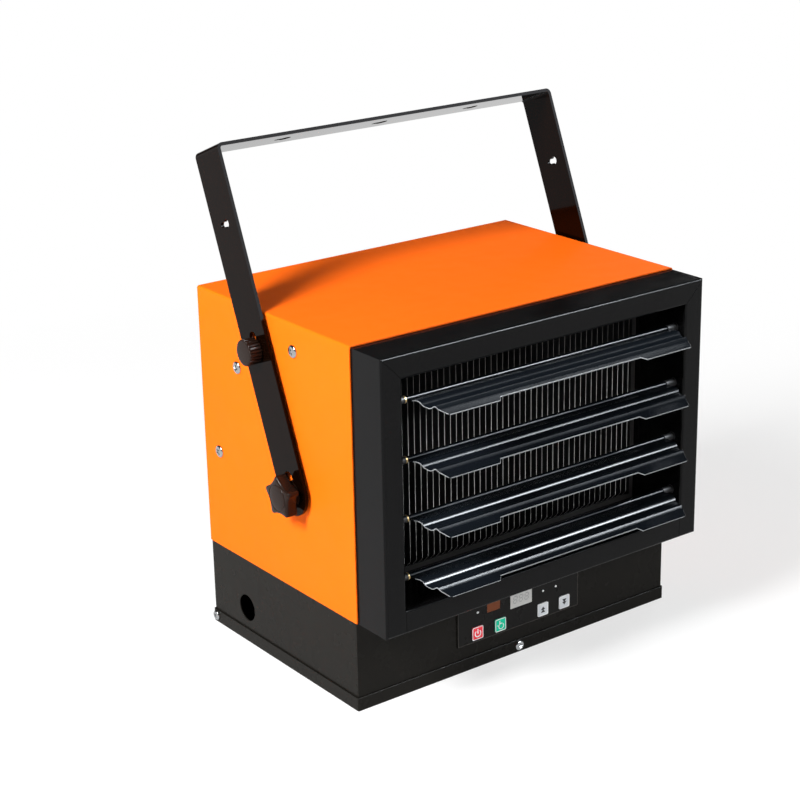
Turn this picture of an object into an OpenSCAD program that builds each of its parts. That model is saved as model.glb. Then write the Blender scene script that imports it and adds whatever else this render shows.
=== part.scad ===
// Electric garage heater: a sheet steel case on a wiring base, with a strap bracket that tilts,
// four turning louvres, a finned heating element and an axial fan behind a punched rear grille.
// Sizes are in millimetres. The origin is the centre of the tray's underside.
// The louvres face -Y, +X is to the right seen from the front, and +Z is up.

/* [Tray and base] */
// Width of the bottom tray
tray_w = 355.6; // [345:0.1:370]
// Depth of the bottom tray
tray_d = 230; // [224:0.5:240]
// Height of the tray's lip
tray_lip = 12; // [10:0.5:16]
// Height of the wiring base
base_h = 82; // [80:0.5:88]
// Thickness of the sheet steel
sheet = 1.2; // [1:0.1:1.4]
// Radius on the folded edges of the case and tray
fold_r = 2.2; // [1.6:0.1:3]
// Radius of the supply cable's hole
cable_hole_r = 12.5; // [9:0.5:14]
// Distance of the cable hole in front of the base's back wall
cable_hole_back = 55.6; // [30:0.2:90]
// Height of the cable hole's centre
cable_hole_z = 32.6; // [24:0.2:40]

/* [Case and bezel] */
// Height from the floor to the top of the case
case_top = 325.1; // [318:0.1:335]
// Depth of the case, without the bezel
case_d = 230; // [226:0.5:236]
// How far the case stands in front of the tray
case_forward = 1.3; // [0:0.1:2]
// Depth of the bezel in front of the case
bezel_d = 39.9; // [30:0.1:50]
// Width of the bezel's face
bezel_face = 20.6; // [16:0.1:26]
// Depth of the air outlet behind the bezel's face
outlet_d = 62; // [56:0.5:70]
// Depth of the bezel's rim that goes into the case
bezel_tuck = 15; // [10:1:18]
// Width of the case's rear flange
rear_flange = 12; // [8:1:16]

/* [Bracket] */
// Height of the upright bracket above the case
bracket_rise = 151.1; // [120:0.1:180]
// Width of the bracket's strap
strap_w = 39.4; // [32:0.1:46]
// Thickness of the bracket's strap
strap_t = 3; // [2:0.1:4]
// Gap between the case and the strap
strap_gap = 3.3; // [3:0.1:5]
// Outer radius of the strap's bends
strap_bend = 5; // [4.5:0.5:9]
// Angle that the bracket leans back from upright
tilt = 22; // [18:1:28]
// Height of the pivot
pivot_z = 176; // [160:1:190]
// Distance of the pivot in front of the case's rear edge
pivot_back = 149.4; // [135:0.2:164]
// Radius of the circle of lock holes round the pivot
lock_r = 125; // [115:1:132]
// Radius of the pivot stud
pivot_stud_r = 4; // [3:0.5:5]
// Radius of the lock stud
lock_stud_r = 3; // [2.5:0.5:3.5]
// Distance between the three keyholes on the top bar
hang_pitch = 104; // [80:1:130]
// Radius of a hanging keyhole's round end
hang_r = 5.2; // [4:0.1:7]
// Height of the leg's keyhole above the pivot
leg_hole_up = 234; // [200:1:245]

/* [Knobs] */
// Number of lobes on the star knob
star_lobes = 5; // [4:1:7]
// Radius to the tips of the star knob
star_r = 19; // [17:0.5:24]
// Height of the star knob
star_h = 16; // [12:0.5:22]
// Radius of the knurled lock knob
knurl_r = 11.5; // [9:0.5:13]
// Height of the knurled lock knob
knurl_h = 13; // [10:0.5:16]
// Number of flutes round the lock knob
knurl_flutes = 24; // [16:1:28]

/* [Louvres and element] */
// Number of louvres
louvres = 4; // [4:1:4]
// Distance between louvre rods
louvre_pitch = 51.4; // [49:0.1:52]
// Height of the lowest louvre rod above the outlet's lower edge
louvre_first = 23.9; // [22:0.1:26]
// Distance of the louvre rods behind the bezel's face
louvre_back = 12.3; // [10:0.1:16]
// Width of the gap between a louvre and the outlet's side
louvre_side_gap = 11.2; // [8:0.1:14]
// Thickness of the louvre's sheet
louvre_t = 0.7; // [0.6:0.1:1.2]
// Radius of the louvre's rolled rear edge
bead_r = 2.4; // [2.3:0.1:3]
// Radius of the louvre's rod
rod_r = 1.5; // [1.2:0.1:1.6]
// Distance between the element's fins
fin_pitch = 6.45; // [6:0.05:8]
// Thickness of a fin
fin_t = 0.5; // [0.4:0.1:0.8]
// Depth of the fins
fin_d = 50; // [44:1:54]
// Radius of the heating tubes
tube_r = 4; // [3:0.5:4.5]
// Distance between the heating tubes, up and down
tube_rise = 62; // [50:1:66]
// Radius of the tubes' return bends
tube_bend = 10; // [8:0.5:10.5]

/* [Fan] */
// Radius to the tips of the fan
fan_r = 91; // [80:1:93]
// Number of fan blades
fan_blades = 5; // [4:1:6]
// Angle of the blades to the fan's plane
blade_angle = 28; // [20:1:34]
// Radius of the fan's hub
hub_r = 20; // [16:1:24]
// Length of the fan's hub
hub_len = 20; // [16:1:24]
// Radius of the motor
motor_r = 36; // [30:1:42]
// Length of the motor
motor_len = 38; // [30:1:38]
// Radius of the motor's shaft
shaft_r = 3; // [2.5:0.5:4]

/* [Controls] */
// Width of the control panel
panel_w = 140; // [134:1:160]
// Distance of the control panel's upper edge below the case
panel_down = 5; // [4:0.5:8]
// Height of the control panel
panel_h = 52; // [50:0.5:53]
// Thickness of the control panel
panel_t = 1.3; // [1:0.1:1.6]
// Width of a button's square cap
cap_w = 12.2; // [10:0.1:13]
// How far a cap stands out of the panel
cap_out = 0.8; // [0.7:0.1:1.2]
// Travel of a button
cap_travel = 0.6; // [0.4:0.1:0.6]

/* [Hidden] */
$fn = 48;

// Small overlap that makes a cut pass through the face it opens
eps = 0.5;
// Gap between sheets that lap or stand on each other
lap = 0.1;
// Gap between the bezel's rim and the case
rim_gap = 0.3;
// Radial clearance of a rod, stud or shaft that turns
turn_gap = 0.1;
// Radial clearance of a screw's hole
hole_gap = 0.2;
// Radial clearance of a press fit
press_gap = 0.02;

// Base box inside the tray's lip
base_hw = tray_w / 2 - sheet - 2 * lap;
base_hd = tray_d / 2 - sheet - 2 * lap;
wall_bottom = sheet + lap;
wall_top = base_h - 2 * lap;
corner_flange = 14;
side_lap = 10;
top_plate_z = wall_top - 2.6;

// Case, bezel and outlet
case_hw = base_hw + lap + sheet;
case_front = -tray_d / 2 - case_forward;
case_rear = case_front + case_d;
bezel_hw = case_hw - sheet - rim_gap;
bezel_top = case_top - sheet - rim_gap;
bezel_bottom = base_h - lap;
bezel_front = case_front - bezel_d;
outlet_hw = bezel_hw - bezel_face;
outlet_low = bezel_bottom + bezel_face;
outlet_high = bezel_top - bezel_face;
outlet_rear = bezel_front + outlet_d;
air_z = (outlet_low + outlet_high) / 2;
bezel_r = 2;
outlet_r = 2.2;

// Bracket
strap_in = case_hw + strap_gap;
strap_out = strap_in + strap_t;
pivot_y = case_rear - pivot_back;
bracket_up = case_top + bracket_rise - pivot_z;
spare_angles = [0, 45, 90];
hang_slot = 8;
hang_slot_r = 2.75;
leg_hole_r = 3.8;
leg_slot_r = 2.2;
leg_slot = 7;
pivot_keyhole_r = 6.5;
pivot_keyhole_up = 13;
lock_keyhole_r = 5.2;
lock_keyhole_up = 11;
washer_r = 11;
nut_len = 6;
pivot_nut_wall = 3.5;
lock_nut_wall = 2.6;

// Screws
screw_r = 2.4;
head_r = 4.6;
side_head_r = 5.8;
head_h = 2.2;
side_screw_len = 9;
tray_screw_len = 5;
rear_screw_len = 6;
foot_screw_len = 5;
motor_screw_len = 8;
small_screw_r = 1.8;
small_head_r = 3.4;
small_head_h = 1.8;
tray_screw_in = 4.8;
tray_screw_z = tray_lip / 2 + 0.3;

// Louvres: the section as steps forward from the rod and heights above it, then the plan as
// distances in from the rear corner and forward, then the shallow notch in the front edge
bush_r = rod_r + 1.5;
bush_flange = 1.1;
collar_r = bead_r + 0.8;
collar_w = 1.2;
bend_share = 0.3;
louvre_hw = outlet_hw - louvre_side_gap;
louvre_reach = 43.4;
louvre_line = [
    [0, 0.4], [8, 0.6], [13, 1.5], [15.8, 1.6], [18.6, 0.7], [20.9, -1.7], [27.4, -3.2],
    [31, 0], [34, -2.7], [36, -3.5], [louvre_reach - 0.2, -6]
];
louvre_side = [
    [0, -6], [0, 6], [1.9, 19.2], [6.4, 31.9], [8.1, 35], [11.1, 42], [13.6, louvre_reach]
];
// Angle that each louvre is raised at rest, from the lowest
louvre_lean = [-1.5, 0, 0, 3];
notch_out = 63.4;
notch_in = 67.1;
notch_d = 4.6;

// Air duct, element and fan
duct_gap = 0.4;
duct_front = outlet_rear + lap;
duct_flange = 4.5;
fan_gap = 2;
bridge_gap = 3;
motor_back_gap = 8.2;
shroud_y = case_rear - (2 * sheet + fan_gap + hub_len + bridge_gap + lap + motor_len + motor_back_gap);
fin_y = duct_front + sheet + lap;
fin_count = floor((2 * outlet_hw - 14) / fin_pitch) + 1;
fin_edge = 1.1;
tube_y = [fin_y + fin_d / 2 - tube_bend, fin_y + fin_d / 2 + tube_bend];
tube_levels = [-1, 0, 1];
tube_left = outlet_hw + 9;
tube_right = outlet_hw + duct_gap + sheet + 2;
hub_wall = 3;
hub_web = 6;
orifice_r = fan_r + 4;
orifice_lip = 22;
fan_y = shroud_y + sheet + fan_gap;
bridge_y = fan_y + hub_len + bridge_gap;
bridge_w = 26;
bridge_hw = orifice_r + 18;
motor_y = bridge_y + sheet + lap;

// Controls
panel_front = -base_hd - lap - panel_t;
panel_z = base_h - panel_down - panel_h;
board_back_gap = 9;
board_t = 1.6;
board_y = -base_hd + sheet + board_back_gap;
board_hw = panel_w / 2;
board_low = panel_z + 1;
board_high = top_plate_z - corner_flange - 1;
standoff_r = 2.4;
button_z = panel_z + 8.5;
button_x = [-48, -22, 27.5, 53];
cap_gap = 0.25;
cap_flange = 1.2;
cap_flange_t = 1;
display_x = [-10.1, 15];
display_z = [panel_z + 19.5, panel_z + 35];
receiver_x = [-36.7, -22];
receiver_z = [panel_z + 24.2, panel_z + 35];
lens_r = 1.1;
lens_spots = [[27.9, panel_z + 26.5], [43, panel_z + 26.5], [-47.6, panel_z + 28]];
opening_in = 6;
switch_w = 6;
switch_h = 3.6;
plunger_r = 1.7;
plunger_h = 1.2;

// Pieces on the tray, placed from the base's walls
relay_w = 36;
relay_d = 42;
relay_h = 42;
relay_rim = 2;
relay_in = 54.4;
relay_back = 57.6;
relay_pitch = 54;
terminal_pole = 13;
terminal_d = 26;
terminal_h = 20;
terminal_in = 46;
terminal_back = 65.6;
ground_in = 30;
ground_back = 43.6;

// Colours
orange = "#f4821e";
black = "#26262a";
graphite = "#33363b";
zinc = "#c9ccd0";
brass_tone = "#c8a050";
steel_tone = "#9aa0a6";
dark_plastic = "#1c1c1e";

// Building blocks

// A box from its low corner to its high corner
module block(low, high) {
    translate(low) cube(high - low);
}

// Cutter that rounds an edge along Z whose solid lies towards +X and +Y
module edge_cutter(r, len) {
    translate([0, 0, -eps]) linear_extrude(len + 2 * eps) difference() {
        translate([-eps, -eps]) square(r + eps);
        translate([r, r]) circle(r);
    }
}

// Rounds the edge along Y at a corner of the XZ outline; sx and sz are the sides it is on
module edge_along_y(x, z, sx, sz, r, y0, y1) {
    translate([x, y1, z])
        mirror([sx > 0 ? 1 : 0, 0, 0]) mirror([0, 0, sz > 0 ? 1 : 0])
            rotate([90, 0, 0]) edge_cutter(r, y1 - y0);
}

// Rounds the edge along X on the front (-Y) side
module edge_along_x(y, z, sz, r, half) {
    translate([-half, y, z]) mirror([0, 0, sz > 0 ? 1 : 0])
        rotate([90, 0, 90]) edge_cutter(r, 2 * half);
}

// Rounds an upright edge; sx and sy are the sides it is on
module edge_along_z(x, y, sx, sy, r, z0, z1) {
    translate([x, y, z0]) mirror([sx > 0 ? 1 : 0, 0, 0]) mirror([0, sy > 0 ? 1 : 0, 0])
        edge_cutter(r, z1 - z0);
}

// A slot with round ends between two points of a plane, as a flat shape
module slot_2d(a, b, r) {
    run = b - a;
    translate(a) circle(r);
    translate(b) circle(r);
    translate(a) rotate(atan2(run[1], run[0])) translate([0, -r]) square([norm(run), 2 * r]);
}

// Unit vector from a to b, turned a quarter turn to the left
function left_of(a, b) = [a[1] - b[1], b[0] - a[0]] / norm(b - a);

// The same line of points with each bend drawn as a short curve
function eased(points) = concat([points[0]], [
    for (i = [1 : len(points) - 2], k = [0, 0.5, 1])
        let (
            p = points[i],
            a = p + bend_share * (points[i - 1] - p),
            b = p + bend_share * (points[i + 1] - p)
        ) (1 - k) * (1 - k) * a + 2 * k * (1 - k) * p + k * k * b
], [points[len(points) - 1]]);

// One edge of a sheet that follows a line of points: d is the distance to the left of the line
function sheet_edge(points, d) = let (last = len(points) - 1) [
    for (i = [0 : last])
        let (
            a = left_of(points[max(i, 1) - 1], points[max(i, 1)]),
            b = left_of(points[min(i, last - 1)], points[min(i, last - 1) + 1]),
            mid = a + b
        ) points[i] + d * 2 * mid / (mid * mid)
];

// A sheet that follows a line of points, as a flat shape of thickness t
module bent_sheet_2d(points, t) {
    left = sheet_edge(points, t / 2);
    right = sheet_edge(points, -t / 2);
    polygon(concat(left, [for (i = [len(right) - 1 : -1 : 0]) right[i]]));
}

// Turns a flat shape drawn in Y and Z into a solid along X
module along_x(x0, x1) {
    translate([x0, 0, 0]) rotate([90, 0, 90]) linear_extrude(x1 - x0) children();
}

// A round bar or hole along X
module round_x(r, x0, x1) {
    translate([x0, 0, 0]) rotate([0, 90, 0]) cylinder(r = r, h = x1 - x0);
}

// A round bar or hole along Y
module round_y(r, y0, y1) {
    translate([0, y1, 0]) rotate([90, 0, 0]) cylinder(r = r, h = y1 - y0);
}

// A pan head screw along Z: the head stands above z = 0 and the shank below it
module pan_screw(shank_r, shank_len, cap_r, cap_h) {
    dome = 2.4 * cap_r;
    intersection() {
        cylinder(r = cap_r, h = cap_h);
        translate([0, 0, cap_h - dome]) sphere(dome);
    }
    translate([0, 0, -shank_len]) cylinder(r = shank_r, h = shank_len + eps);
}

// Clearance hole along Z for a screw whose head stands at z = 0
module drill(shank_r) {
    translate([0, 0, -8 * sheet]) cylinder(r = shank_r + hole_gap, h = 10 * sheet);
}

// Repeats a left-hand piece on the right
module both_sides() {
    children();
    mirror([1, 0, 0]) children();
}

// Places something at an angle back from upright on the circle of lock holes
module at_lock(angle) {
    translate([0, pivot_y + lock_r * sin(angle), pivot_z + lock_r * cos(angle)]) children();
}

// The heights of the louvre rods, from the lowest
function louvre_z(i) = outlet_low + louvre_first + (i - 1) * louvre_pitch;

// Base

module bottom_tray() {
    color(black) difference() {
        block([-tray_w / 2, -tray_d / 2, 0], [tray_w / 2, tray_d / 2, tray_lip]);
        block([-tray_w / 2 + sheet, -tray_d / 2 + sheet, sheet],
              [tray_w / 2 - sheet, tray_d / 2 - sheet, tray_lip + eps]);
        for (sx = [-1, 1], sy = [-1, 1])
            edge_along_z(sx * tray_w / 2, sy * tray_d / 2, sx, sy, sheet, 0, tray_lip);
        edge_along_x(-tray_d / 2, tray_lip, 1, sheet / 2, tray_w / 2);
        at_tray_screws() drill(screw_r);
    }
}

// Places a screw that points into the tray's lip: front middle, and both sides near the back
module at_tray_screws() {
    translate([0, -tray_d / 2, tray_screw_z]) rotate([90, 0, 0]) children();
    for (s = [-1, 1])
        translate([s * tray_w / 2, tray_d / 2 - tray_screw_in, tray_screw_z])
            rotate([0, s * 90, 0]) children();
}

module base_front() {
    cut_hw = panel_w / 2 - opening_in;
    cut_low = button_z - cap_w / 2 - cap_flange - 2 * hole_gap;
    color(black) difference() {
        union() {
            block([-base_hw, -base_hd, wall_bottom], [base_hw, -base_hd + sheet, wall_top]);
            both_sides() corner_strip();
        }
        block([-cut_hw, -base_hd - eps, cut_low],
              [cut_hw, -base_hd + sheet + eps, panel_z + panel_h - opening_in]);
        at_tray_screws() drill(screw_r);
    }
}

// Flange of a front or back wall that the side wall laps over
module corner_strip() {
    inner = base_hw - sheet - lap;
    block([-inner, -base_hd, wall_bottom], [-inner + sheet, -base_hd + corner_flange, wall_top]);
}

module base_back() {
    color(black) difference() {
        mirror([0, 1, 0]) {
            block([-base_hw, -base_hd, wall_bottom], [base_hw, -base_hd + sheet, wall_top]);
            both_sides() corner_strip();
        }
        at_tray_screws() drill(screw_r);
    }
}

// Side wall of the base, with the strip that goes up inside the case
module base_side() {
    inner_d = base_hd - sheet - lap;
    block([-base_hw, -inner_d, wall_bottom], [-base_hw + sheet, inner_d, wall_top]);
    block([-base_hw, outlet_rear, wall_top - eps],
          [-base_hw + sheet, min(inner_d, case_rear - sheet - lap - rear_flange), base_h + side_lap]);
}

module base_left() {
    color(black) difference() {
        base_side();
        translate([0, base_hd - cable_hole_back, cable_hole_z])
            round_x(cable_hole_r, -base_hw - eps, -base_hw + sheet + eps);
        at_tray_screws() drill(screw_r);
    }
}

module base_right() {
    color(black) difference() {
        mirror([1, 0, 0]) base_side();
        at_tray_screws() drill(screw_r);
    }
}

// Plate between the wiring space and the air space, with four holes for the leads
module base_top() {
    hw = base_hw - 2 * sheet - 2 * lap;
    hd = base_hd - sheet - lap;
    lead_hole_r = 9;
    lead_hole_x = outlet_hw + 5;
    color(steel_tone) difference() {
        block([-hw, -hd, top_plate_z - corner_flange], [hw, hd, top_plate_z]);
        block([-hw - eps, -hd + sheet, top_plate_z - corner_flange - eps],
              [hw + eps, hd - sheet, top_plate_z - sheet]);
        for (s = [-1, 1], y = [fin_y + fin_d / 2, fan_y])
            translate([s * lead_hole_x, y, top_plate_z - 2 * sheet]) cylinder(r = lead_hole_r, h = 4 * sheet);
    }
}

// Case

module case_shell() {
    color(orange) difference() {
        block([-case_hw, case_front, base_h], [case_hw, case_rear, case_top]);
        block([-case_hw + sheet, case_front - eps, base_h - eps],
              [case_hw - sheet, case_rear - sheet, case_top - sheet]);
        block([-case_hw + rear_flange, case_rear - 2 * sheet, base_h - eps],
              [case_hw - rear_flange, case_rear + eps, case_top - rear_flange]);
        for (s = [-1, 1])
            edge_along_y(s * case_hw, case_top, s, 1, fold_r, case_front - eps, case_rear + eps);
        both_sides() {
            translate([0, pivot_y, pivot_z])
                round_x(pivot_stud_r + hole_gap, -case_hw - eps, -case_hw + 2 * sheet);
            for (a = concat(spare_angles, [tilt]))
                at_lock(a) round_x(screw_r + hole_gap, -case_hw - eps, -case_hw + 2 * sheet);
        }
        at_rear_screws() drill(screw_r);
    }
}

// Places a screw that holds the rear panel on the case's rear flanges
module at_rear_screws() {
    x = case_hw - rear_flange / 2;
    low = base_h + 24;
    high = case_top - 24;
    for (s = [-1, 1], z = [low, (low + high) / 2, high])
        translate([s * x, case_rear + lap + sheet, z]) rotate([-90, 0, 0]) children();
    for (s = [-1, 1])
        translate([s * case_hw / 2, case_rear + lap + sheet, case_top - rear_flange / 2])
            rotate([-90, 0, 0]) children();
}

// Flat rear panel with a round grille of arc slots
module rear_panel() {
    slot_w = 5.4;
    bar_w = 3.6;
    first_r = 18;
    spoke_w = 5;
    spokes = 8;
    rings = floor((fan_r + 4 - first_r) / (slot_w + bar_w));
    hw = case_hw - sheet;
    color(black) difference() {
        translate([0, case_rear + lap + sheet, 0]) rotate([90, 0, 0]) linear_extrude(sheet) difference() {
            translate([-hw, base_h + lap]) square([2 * hw, case_top - sheet - base_h - 2 * lap]);
            translate([0, air_z]) difference() {
                for (i = [0 : rings - 1]) difference() {
                    circle(first_r + slot_w + i * (slot_w + bar_w));
                    circle(first_r + i * (slot_w + bar_w));
                }
                for (a = [0 : spokes - 1]) rotate((a + 0.5) * 360 / spokes)
                    translate([0, -spoke_w / 2]) square([fan_r + 20, spoke_w]);
            }
        }
        at_rear_screws() drill(screw_r);
    }
}

// Front frame: outer rim, face and the inner rim that leads the air out
module front_bezel() {
    rim_rear = case_front + bezel_tuck;
    seam_w = 0.5;
    seam_d = 0.4;
    color(graphite) difference() {
        block([-bezel_hw, bezel_front, bezel_bottom], [bezel_hw, outlet_rear, bezel_top]);
        block([-outlet_hw, bezel_front - eps, outlet_low], [outlet_hw, outlet_rear + eps, outlet_high]);
        difference() {
            block([-bezel_hw + sheet, bezel_front + sheet, bezel_bottom + sheet],
                  [bezel_hw - sheet, outlet_rear + eps, bezel_top - sheet]);
            block([-outlet_hw - sheet, bezel_front, outlet_low - sheet],
                  [outlet_hw + sheet, outlet_rear + 2 * eps, outlet_high + sheet]);
        }
        difference() {
            block([-bezel_hw - eps, rim_rear, bezel_bottom - eps],
                  [bezel_hw + eps, outlet_rear + eps, bezel_top + eps]);
            block([-outlet_hw - sheet, bezel_front, outlet_low - sheet],
                  [outlet_hw + sheet, outlet_rear + 2 * eps, outlet_high + sheet]);
        }
        for (s = [-1, 1]) {
            edge_along_z(s * bezel_hw, bezel_front, s, -1, bezel_r, bezel_bottom, bezel_top);
            edge_along_z(s * outlet_hw, bezel_front, -s, -1, outlet_r, outlet_low, outlet_high);
        }
        edge_along_x(bezel_front, bezel_top, 1, bezel_r, bezel_hw);
        edge_along_x(bezel_front, bezel_bottom, -1, bezel_r, bezel_hw);
        edge_along_x(bezel_front, outlet_high, -1, outlet_r, outlet_hw);
        edge_along_x(bezel_front, outlet_low, 1, outlet_r, outlet_hw);
        both_sides() {
            translate([-bezel_hw, bezel_front, bezel_top]) rotate([0, 45, 0])
                block([-seam_w, -eps, -seam_w / 2], [bezel_face * sqrt(2), seam_d, seam_w / 2]);
            block([-outlet_hw - seam_w, bezel_front - eps, bezel_bottom - eps],
                  [-outlet_hw, bezel_front + seam_d, outlet_low]);
        }
        for (i = [1 : louvres]) translate([0, bezel_front + louvre_back, louvre_z(i)])
            round_x(bush_r, -bezel_hw + 2 * sheet, bezel_hw - 2 * sheet);
    }
}

// Louvres

module louvre() {
    left = [for (p = louvre_side) [-louvre_hw + p[0], -p[1]]];
    right = [for (i = [len(louvre_side) - 1 : -1 : 0]) [louvre_hw - louvre_side[i][0], -louvre_side[i][1]]];
    notch = [
        [-louvre_hw + notch_out, -louvre_reach], [-louvre_hw + notch_in, -louvre_reach + notch_d],
        [louvre_hw - notch_in, -louvre_reach + notch_d], [louvre_hw - notch_out, -louvre_reach]
    ];
    color(graphite) difference() {
        intersection() {
            union() {
                mirror([0, 1, 0]) along_x(-louvre_hw - eps, louvre_hw + eps)
                    bent_sheet_2d(eased(louvre_line), louvre_t);
                round_x(bead_r, -louvre_hw - eps, louvre_hw + eps);
            }
            translate([0, 0, -20]) linear_extrude(40) polygon(concat(left, notch, right));
        }
        round_x(rod_r + press_gap, -louvre_hw - 1, louvre_hw + 1);
    }
}

module at_louvre(i) {
    translate([0, bezel_front + louvre_back, louvre_z(i)]) children();
}

// A louvre in its place, raised by its own angle
module placed_louvre(i) {
    at_louvre(i) rotate([-louvre_lean[i - 1], 0, 0]) louvre();
}

// Rod with a collar against the louvre's left end
module louvre_rod() {
    color(brass_tone) {
        round_x(rod_r, -outlet_hw - 1.6 * sheet, outlet_hw + 1.6 * sheet);
        round_x(collar_r, -louvre_hw - lap - collar_w, -louvre_hw - lap);
    }
}

// Flanged bush on the left of the bezel's inner rim; reach is how far it sleeves the rod
module louvre_bush(reach) {
    difference() {
        union() {
            round_x(bush_r - press_gap, -outlet_hw - 2.4 * sheet, -outlet_hw + reach);
            round_x(bush_r + bush_flange, -outlet_hw + lap, -outlet_hw + lap + 1);
        }
        round_x(rod_r + turn_gap, -outlet_hw - 3 * sheet, -outlet_hw + reach + 1);
    }
}

module louvre_bushes() {
    color(dark_plastic) for (i = [1 : louvres]) at_louvre(i) {
        louvre_bush(louvre_side_gap - collar_w - 3 * lap);
        mirror([1, 0, 0]) louvre_bush(louvre_side_gap - 2 * lap);
    }
}

// Element

// Sleeve that carries the air from the fan through the fins to the bezel: four folded panels
module air_duct() {
    hw = outlet_hw + duct_gap;
    low = outlet_low - duct_gap;
    high = outlet_high + duct_gap;
    color(steel_tone) {
        duct_panel(hw, high);
        translate([0, 0, low + high]) mirror([0, 0, 1]) duct_panel(hw, high);
        both_sides() difference() {
            union() {
                block([-hw - sheet, duct_front, low + lap], [-hw, shroud_y - lap, high - lap]);
                block([-hw - eps, duct_front, outlet_low + duct_flange + lap],
                      [-outlet_hw + duct_flange, duct_front + sheet, outlet_high - duct_flange - lap]);
            }
            for (y = tube_y, k = tube_levels) translate([0, y, air_z + k * tube_rise])
                round_x(tube_r + hole_gap, -hw - 2 * sheet, -hw + sheet);
        }
    }
}

// The duct's upper panel, with its flange between the side panels
module duct_panel(hw, high) {
    block([-hw - sheet, duct_front, high], [hw + sheet, shroud_y - lap, high + sheet]);
    block([-hw + lap, duct_front, outlet_high - duct_flange], [hw - lap, duct_front + sheet, high + eps]);
}

// One fin, drawn in Y and Z
module fin_2d() {
    low = outlet_low + fin_edge;
    high = outlet_high - fin_edge;
    chamfer = 6;
    difference() {
        polygon([
            [fin_y, low + chamfer], [fin_y + chamfer, low], [fin_y + fin_d, low],
            [fin_y + fin_d, high], [fin_y + chamfer, high], [fin_y, high - chamfer]
        ]);
        for (y = tube_y, k = tube_levels)
            translate([y, air_z + k * tube_rise]) circle(tube_r + lap);
    }
}

module heater_fins() {
    color(steel_tone) for (i = [0 : fin_count - 1]) {
        x = (i - (fin_count - 1) / 2) * fin_pitch;
        along_x(x - fin_t / 2, x + fin_t / 2) fin_2d();
    }
}

// Three hairpin tubes: two runs each, with the return bend outside the duct on the right
module heating_tubes() {
    color(zinc) for (k = tube_levels) translate([0, 0, air_z + k * tube_rise]) {
        for (y = tube_y) translate([0, y, 0]) round_x(tube_r, -tube_left, tube_right);
        translate([tube_right, (tube_y[0] + tube_y[1]) / 2, 0]) rotate([0, 0, -90])
            rotate_extrude(angle = 180) translate([tube_bend, 0]) circle(tube_r);
    }
}

// Screw terminals on the left ends of the tubes
module tube_terminals() {
    color(brass_tone) for (k = tube_levels, y = tube_y) translate([0, y, air_z + k * tube_rise]) {
        round_x(1.8, -tube_left - 6, -tube_left);
        round_x(3.2, -tube_left - 2.5, -tube_left - 0.5);
    }
}

// Round cut-out switch on the duct's top
module thermal_cutout() {
    seat = outlet_high + duct_gap + sheet + lap;
    color(dark_plastic) translate([0, fin_y + fin_d + 16, seat]) {
        cylinder(r = 10, h = 1);
        cylinder(r = 7.5, h = 7);
        for (s = [-1, 1]) translate([s * 4 - 0.4, -2.4, 6]) cube([0.8, 4.8, 5.5]);
    }
}

// Fan

module fan_shroud() {
    low = base_h + lap;
    hw = base_hw - sheet - 2 * lap;
    high = case_top - sheet - 2 * lap;
    color(steel_tone) difference() {
        union() {
            block([-hw, shroud_y, low], [hw, shroud_y + sheet, high]);
            translate([0, shroud_y, air_z]) rotate([-90, 0, 0]) rotate_extrude() {
                translate([orifice_r, 0]) square([sheet, orifice_lip]);
                translate([orifice_r, 0]) square([3, sheet]);
                translate([orifice_r + sheet / 2, orifice_lip]) circle(sheet);
            }
        }
        translate([0, 0, air_z]) round_y(orifice_r, shroud_y - eps, shroud_y + sheet + eps);
        at_bridge_screws() drill(small_screw_r);
    }
}

// Places a screw that holds a foot of the motor's bridge on the shroud
module at_bridge_screws() {
    for (s = [-1, 1], z = [-1, 1])
        translate([s * (bridge_hw + 6), shroud_y + 2 * sheet + lap, air_z + z * bridge_w / 4])
            rotate([-90, 0, 0]) children();
}

// Places a screw that holds the motor on its bridge, with the head in front
module at_motor_screws() {
    for (s = [-1, 1]) translate([s * (hub_r + 5), bridge_y, air_z]) rotate([90, 0, 0]) children();
}

// Bridge strap behind the fan that carries the motor
module motor_bracket() {
    foot = 12;
    foot_y = shroud_y + sheet + lap + sheet / 2;
    span_y = bridge_y + sheet / 2;
    line = [
        [-bridge_hw - foot, foot_y], [-bridge_hw, foot_y], [-bridge_hw + 4, span_y],
        [bridge_hw - 4, span_y], [bridge_hw, foot_y], [bridge_hw + foot, foot_y]
    ];
    color(zinc) difference() {
        translate([0, 0, air_z - bridge_w / 2]) linear_extrude(bridge_w) bent_sheet_2d(line, sheet);
        translate([0, 0, air_z]) round_y(shaft_r + 4, bridge_y - 1, bridge_y + 3 * sheet);
        at_bridge_screws() drill(small_screw_r);
        at_motor_screws() drill(small_screw_r);
    }
}

// Round motor with a stepped end cap, cooling slots and a blind bearing for the shaft
module fan_motor() {
    slots = 12;
    bearing = 24;
    color(dark_plastic) difference() {
        translate([0, motor_y, air_z]) rotate([-90, 0, 0]) {
            cylinder(r = motor_r, h = motor_len - 5);
            translate([0, 0, motor_len - 6]) cylinder(r = motor_r - 5, h = 6);
        }
        translate([0, 0, air_z]) round_y(shaft_r + turn_gap, motor_y - eps, motor_y + bearing);
        translate([0, motor_y, air_z]) for (a = [0 : slots - 1]) rotate([0, a * 360 / slots, 0])
            block([motor_r - 2.5, 9, -1.6], [motor_r + eps, motor_len - 12, 1.6]);
        at_motor_screws() drill(small_screw_r);
    }
}

module motor_screws() {
    color(zinc) {
        at_bridge_screws() pan_screw(small_screw_r, foot_screw_len, small_head_r, small_head_h);
        at_motor_screws() pan_screw(small_screw_r, motor_screw_len, small_head_r, small_head_h);
    }
}

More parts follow.
